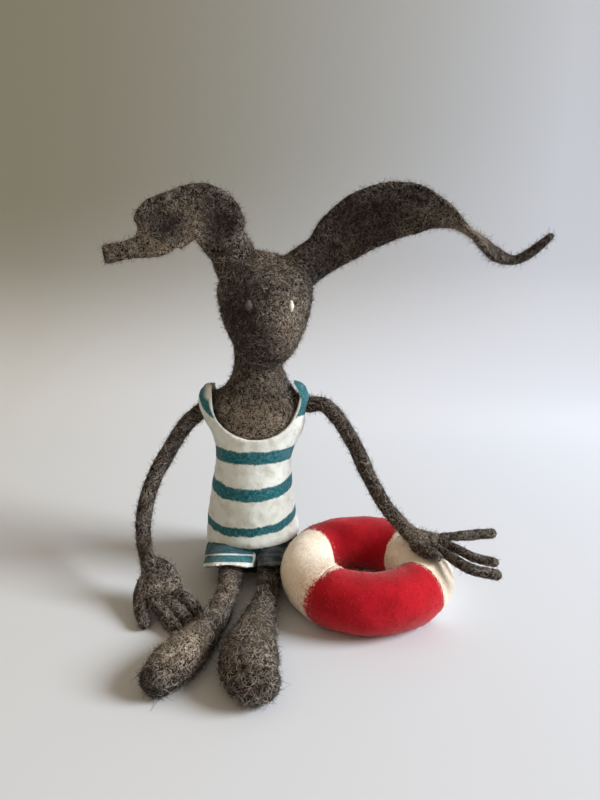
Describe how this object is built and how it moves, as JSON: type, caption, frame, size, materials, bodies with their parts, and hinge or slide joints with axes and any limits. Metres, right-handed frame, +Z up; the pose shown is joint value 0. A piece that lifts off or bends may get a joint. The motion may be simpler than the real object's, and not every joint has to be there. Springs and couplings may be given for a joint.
{
  "type": "felt rabbit doll",
  "caption": "Seated needle-felted rabbit doll with long bendable ears and limbs, in a striped bathing suit, one hand on a felt lifebuoy.",
  "frame": {"origin": "on the surface the doll sits on, under the middle of its bounding box", "axes": "+Z up, -Y the way the doll faces, +X the doll's own left, where its longer ear and the lifebuoy are"},
  "size_m": [0.2504, 0.1706, 0.2328],
  "materials": {
    "grey_wool": "fuzzy felted wool",
    "cream_felt": "fuzzy felted wool",
    "red_felt": "fuzzy felted wool",
    "eye_felt": "felted wool",
    "armature_wire": "drawn wire"
  },
  "bodies": {
    "torso": {"torso": "grey_wool", "armature_spine": "armature_wire", "swimsuit": "cream_felt"},
    "neck": {"neck": "grey_wool", "armature_neck": "armature_wire"},
    "head": {"head": "grey_wool", "armature_head": "armature_wire", "eye_right": "eye_felt", "eye_left": "eye_felt"},
    "ear_base_right": {"ear_base_right": "grey_wool", "armature_ear_base_right": "armature_wire"},
    "ear_tip_right": {"ear_tip_right": "grey_wool", "armature_ear_tip_right": "armature_wire"},
    "ear_base_left": {"ear_base_left": "grey_wool", "armature_ear_base_left": "armature_wire"},
    "ear_tip_left": {"ear_tip_left": "grey_wool", "armature_ear_tip_left": "armature_wire"},
    "upper_arm_right": {"upper_arm_right": "grey_wool", "armature_upper_arm_right": "armature_wire"},
    "forearm_right": {"forearm_right": "grey_wool", "armature_forearm_right": "armature_wire"},
    "palm_right": {"palm_right": "grey_wool", "armature_palm_right": "armature_wire"},
    "thumb_right": {"thumb_right": "grey_wool", "armature_thumb_right": "armature_wire"},
    "first_finger_right": {"first_finger_right": "grey_wool", "armature_first_finger_right": "armature_wire"},
    "middle_finger_right": {"middle_finger_right": "grey_wool", "armature_middle_finger_right": "armature_wire"},
    "last_finger_right": {"last_finger_right": "grey_wool", "armature_last_finger_right": "armature_wire"},
    "thigh_right": {"thigh_right": "grey_wool", "armature_thigh_right": "armature_wire", "suit_leg_right": "cream_felt"},
    "lower_leg_right": {"lower_leg_right": "grey_wool", "armature_lower_leg_right": "armature_wire"},
    "upper_arm_left": {"upper_arm_left": "grey_wool", "armature_upper_arm_left": "armature_wire"},
    "forearm_left": {"forearm_left": "grey_wool", "armature_forearm_left": "armature_wire"},
    "palm_left": {"palm_left": "grey_wool", "armature_palm_left": "armature_wire"},
    "thumb_left": {"thumb_left": "grey_wool", "armature_thumb_left": "armature_wire"},
    "first_finger_left": {"first_finger_left": "grey_wool", "armature_first_finger_left": "armature_wire"},
    "middle_finger_left": {"middle_finger_left": "grey_wool", "armature_middle_finger_left": "armature_wire"},
    "last_finger_left": {"last_finger_left": "grey_wool", "armature_last_finger_left": "armature_wire"},
    "thigh_left": {"thigh_left": "grey_wool", "armature_thigh_left": "armature_wire", "suit_leg_left": "cream_felt"},
    "lower_leg_left": {"lower_leg_left": "grey_wool", "armature_lower_leg_left": "armature_wire"},
    "lifebuoy": {"lifebuoy_red_front": "red_felt", "lifebuoy_white_left": "cream_felt", "lifebuoy_red_back": "red_felt", "lifebuoy_white_right": "cream_felt"}
  },
  "joints": [
    {"name": "neck_bend", "type": "hinge", "parent": "torso", "child": "neck", "pos_m": [-0.04077, 0.0596, 0.12], "axis": [1, 0, 0], "range_deg": [-20, 25]},
    {"name": "head_turn", "type": "hinge", "parent": "neck", "child": "head", "pos_m": [-0.04057, 0.0601, 0.151], "axis": [0, 0, 1], "range_deg": [-50, 50]},
    {"name": "ear_root_right", "type": "hinge", "parent": "head", "child": "ear_base_right", "pos_m": [-0.05557, 0.0616, 0.1934], "axis": [0, -1, 0], "range_deg": [-8, 50]},
    {"name": "ear_fold_right", "type": "hinge", "parent": "ear_base_right", "child": "ear_tip_right", "pos_m": [-0.07057, 0.0506, 0.2184], "axis": [0.2981, -0.022, 0.9543], "range_deg": [-35, 35]},
    {"name": "ear_root_left", "type": "hinge", "parent": "head", "child": "ear_base_left", "pos_m": [-0.01237, 0.0622, 0.1904], "axis": [0, -1, 0], "range_deg": [-20, 30]},
    {"name": "ear_fold_left", "type": "hinge", "parent": "ear_base_left", "child": "ear_tip_left", "pos_m": [0.06143, 0.0476, 0.2162], "axis": [0.4271, -0.5782, 0.6952], "range_deg": [-35, 35]},
    {"name": "shoulder_right", "type": "hinge", "parent": "torso", "child": "upper_arm_right", "pos_m": [-0.07437, 0.0586, 0.102], "axis": [-1, 0, 0], "range_deg": [0, 80]},
    {"name": "elbow_right", "type": "hinge", "parent": "upper_arm_right", "child": "forearm_right", "pos_m": [-0.10338, 0.03996, 0.06295], "axis": [-1, 0, 0], "range_deg": [0, 70]},
    {"name": "wrist_right", "type": "hinge", "parent": "forearm_right", "child": "palm_right", "pos_m": [-0.10257, 0.0106, 0.0255], "axis": [-1, 0, 0], "range_deg": [0, 45]},
    {"name": "thumb_root_right", "type": "hinge", "parent": "palm_right", "child": "thumb_right", "pos_m": [-0.10637, 0.0048, 0.0142], "axis": [-0.9873, -0.1586, 0], "range_deg": [0, 35]},
    {"name": "first_finger_root_right", "type": "hinge", "parent": "palm_right", "child": "first_finger_right", "pos_m": [-0.09717, -0.0062, 0.0077], "axis": [-0.7336, -0.6796, 0], "range_deg": [0, 35]},
    {"name": "middle_finger_root_right", "type": "hinge", "parent": "palm_right", "child": "middle_finger_right", "pos_m": [-0.09017, -0.0052, 0.0084], "axis": [-0.674, -0.7388, 0], "range_deg": [0, 35]},
    {"name": "last_finger_root_right", "type": "hinge", "parent": "palm_right", "child": "last_finger_right", "pos_m": [-0.08417, -0.0014, 0.0097], "axis": [-0.4382, -0.8989, 0], "range_deg": [0, 35]},
    {"name": "hip_right", "type": "hinge", "parent": "torso", "child": "thigh_right", "pos_m": [-0.05697, 0.0276, 0.0106], "axis": [-1, 0, 0], "range_deg": [0, 50]},
    {"name": "knee_right", "type": "hinge", "parent": "thigh_right", "child": "lower_leg_right", "pos_m": [-0.05818, -0.00938, 0.00948], "axis": [-1, 0, 0], "range_deg": [0, 35]},
    {"name": "shoulder_left", "type": "hinge", "parent": "torso", "child": "upper_arm_left", "pos_m": [-0.01007, 0.0586, 0.1045], "axis": [-1, 0, 0], "range_deg": [0, 80]},
    {"name": "elbow_left", "type": "hinge", "parent": "upper_arm_left", "child": "forearm_left", "pos_m": [0.02135, 0.04484, 0.07432], "axis": [0, -1, 0], "range_deg": [0, 70]},
    {"name": "wrist_left", "type": "hinge", "parent": "forearm_left", "child": "palm_left", "pos_m": [0.04503, 0.0261, 0.0393], "axis": [0, -1, 0], "range_deg": [0, 45]},
    {"name": "thumb_root_left", "type": "hinge", "parent": "palm_left", "child": "thumb_left", "pos_m": [0.04983, 0.008, 0.0361], "axis": [-0.7759, -0.6309, 0], "range_deg": [0, 30]},
    {"name": "first_finger_root_left", "type": "hinge", "parent": "palm_left", "child": "first_finger_left", "pos_m": [0.06503, 0.0164, 0.037], "axis": [0.068, -0.9977, 0], "range_deg": [0, 30]},
    {"name": "middle_finger_root_left", "type": "hinge", "parent": "palm_left", "child": "middle_finger_left", "pos_m": [0.06503, 0.0102, 0.0366], "axis": [-0.4815, -0.8765, 0], "range_deg": [0, 30]},
    {"name": "last_finger_root_left", "type": "hinge", "parent": "palm_left", "child": "last_finger_left", "pos_m": [0.06043, 0.0056, 0.0362], "axis": [-0.6312, -0.7756, 0], "range_deg": [0, 30]},
    {"name": "hip_left", "type": "hinge", "parent": "torso", "child": "thigh_left", "pos_m": [-0.03417, 0.0276, 0.0106], "axis": [-1, 0, 0], "range_deg": [0, 50]},
    {"name": "knee_left", "type": "hinge", "parent": "thigh_left", "child": "lower_leg_left", "pos_m": [-0.03515, -0.0101, 0.00972], "axis": [-1, 0, 0], "range_deg": [0, 35]},
    {"name": "lifebuoy_slide", "type": "slide", "parent": "torso", "child": "lifebuoy", "axis": [0, -1, 0], "range_m": [0, 0.04]}
  ]
}
